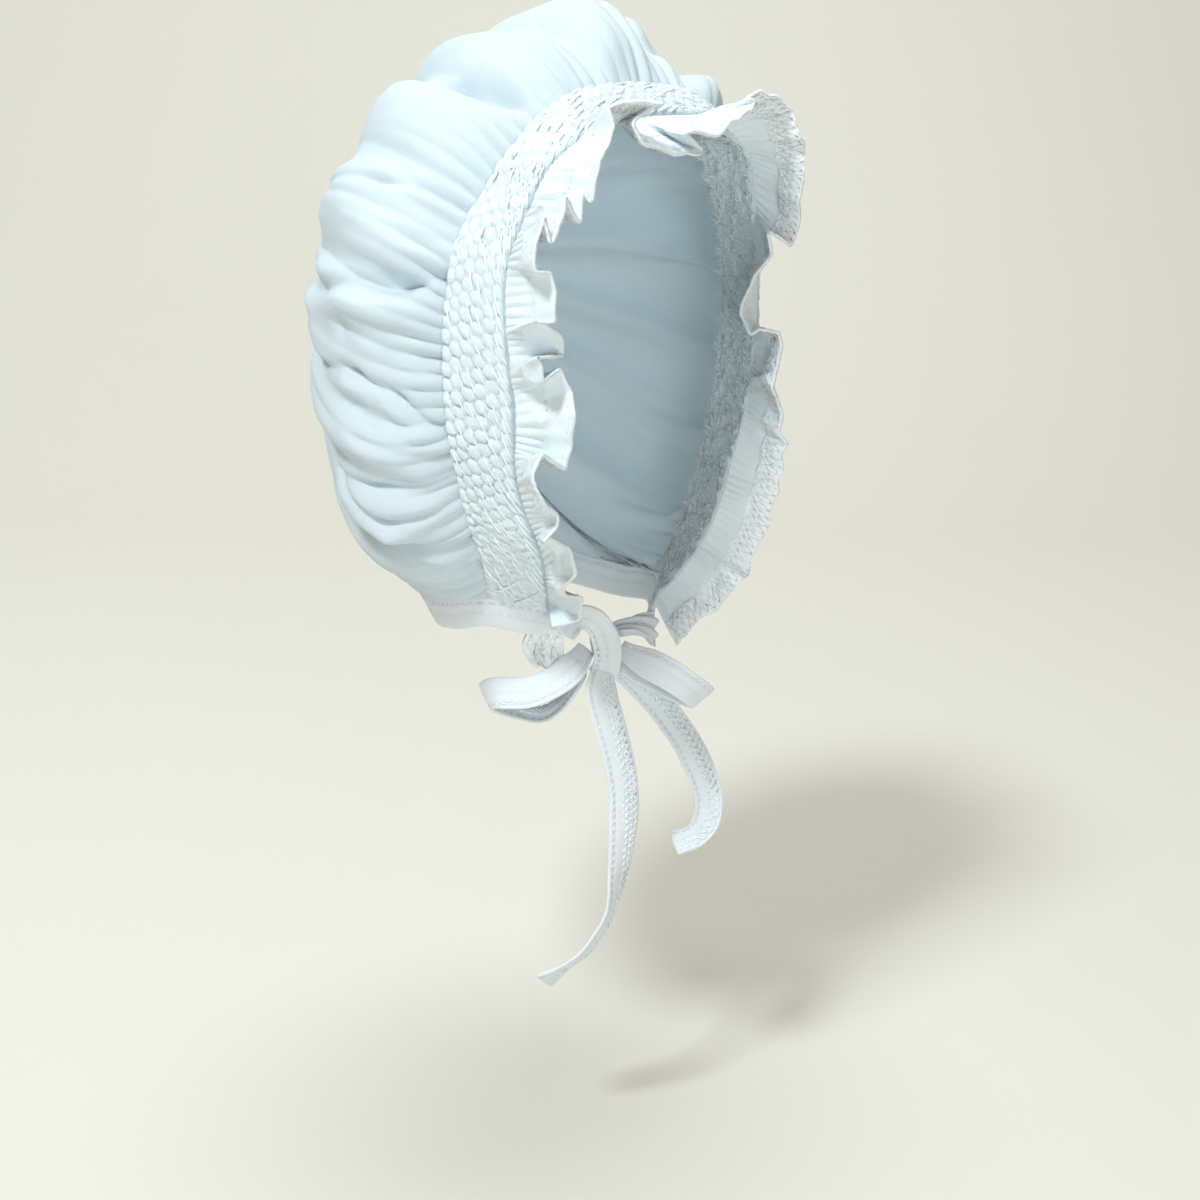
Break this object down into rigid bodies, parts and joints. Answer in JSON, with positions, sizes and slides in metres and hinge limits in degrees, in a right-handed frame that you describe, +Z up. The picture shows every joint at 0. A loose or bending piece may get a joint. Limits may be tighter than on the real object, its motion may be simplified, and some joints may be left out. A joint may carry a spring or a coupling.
{
  "type": "christening bonnet",
  "caption": "Baby's white cotton bonnet with a full gathered crown, smocked face band, fluted ruffle, neck band and ties in a bow.",
  "frame": {"origin": "the point inside the top of the crown where a head carries the bonnet", "axes": "+Z up, -Y the way the face looks, +X towards the wearer's left"},
  "size_m": [0.1441, 0.1189, 0.2847],
  "materials": {
    "crown": "matt white cotton lawn, fine plain weave, finely gathered",
    "smocked_band": "white cotton lawn, honeycomb smocking with raised white thread",
    "ruffle": "white cotton lawn, fluted, with two hem stitch lines and overlocked wrong side",
    "neck_band": "soft white cotton binding with twin-needle stitch rows",
    "knot": "soft white cotton tie, smooth face with twin-needle stitching, looped cover stitch on its wrong side",
    "tie_right": "soft white cotton tie, smooth face with twin-needle stitching, looped cover stitch on its wrong side",
    "tie_left": "soft white cotton tie, smooth face with twin-needle stitching, looped cover stitch on its wrong side",
    "bow_loop_right": "soft white cotton tie, smooth face with twin-needle stitching, looped cover stitch on its wrong side",
    "bow_loop_left": "soft white cotton tie, smooth face with twin-needle stitching, looped cover stitch on its wrong side",
    "tail_long": "soft white cotton tie, smooth face with twin-needle stitching, looped cover stitch on its wrong side",
    "tail_short": "soft white cotton tie, smooth face with twin-needle stitching, looped cover stitch on its wrong side"
  },
  "bodies": {
    "root": {"crown": "crown", "smocked_band": "smocked_band", "ruffle": "ruffle", "neck_band": "neck_band", "knot": "knot", "tie_right": "tie_right", "tie_left": "tie_left", "bow_loop_right": "bow_loop_right", "bow_loop_left": "bow_loop_left", "tail_long": "tail_long", "tail_short": "tail_short"}
  },
  "joints": []
}
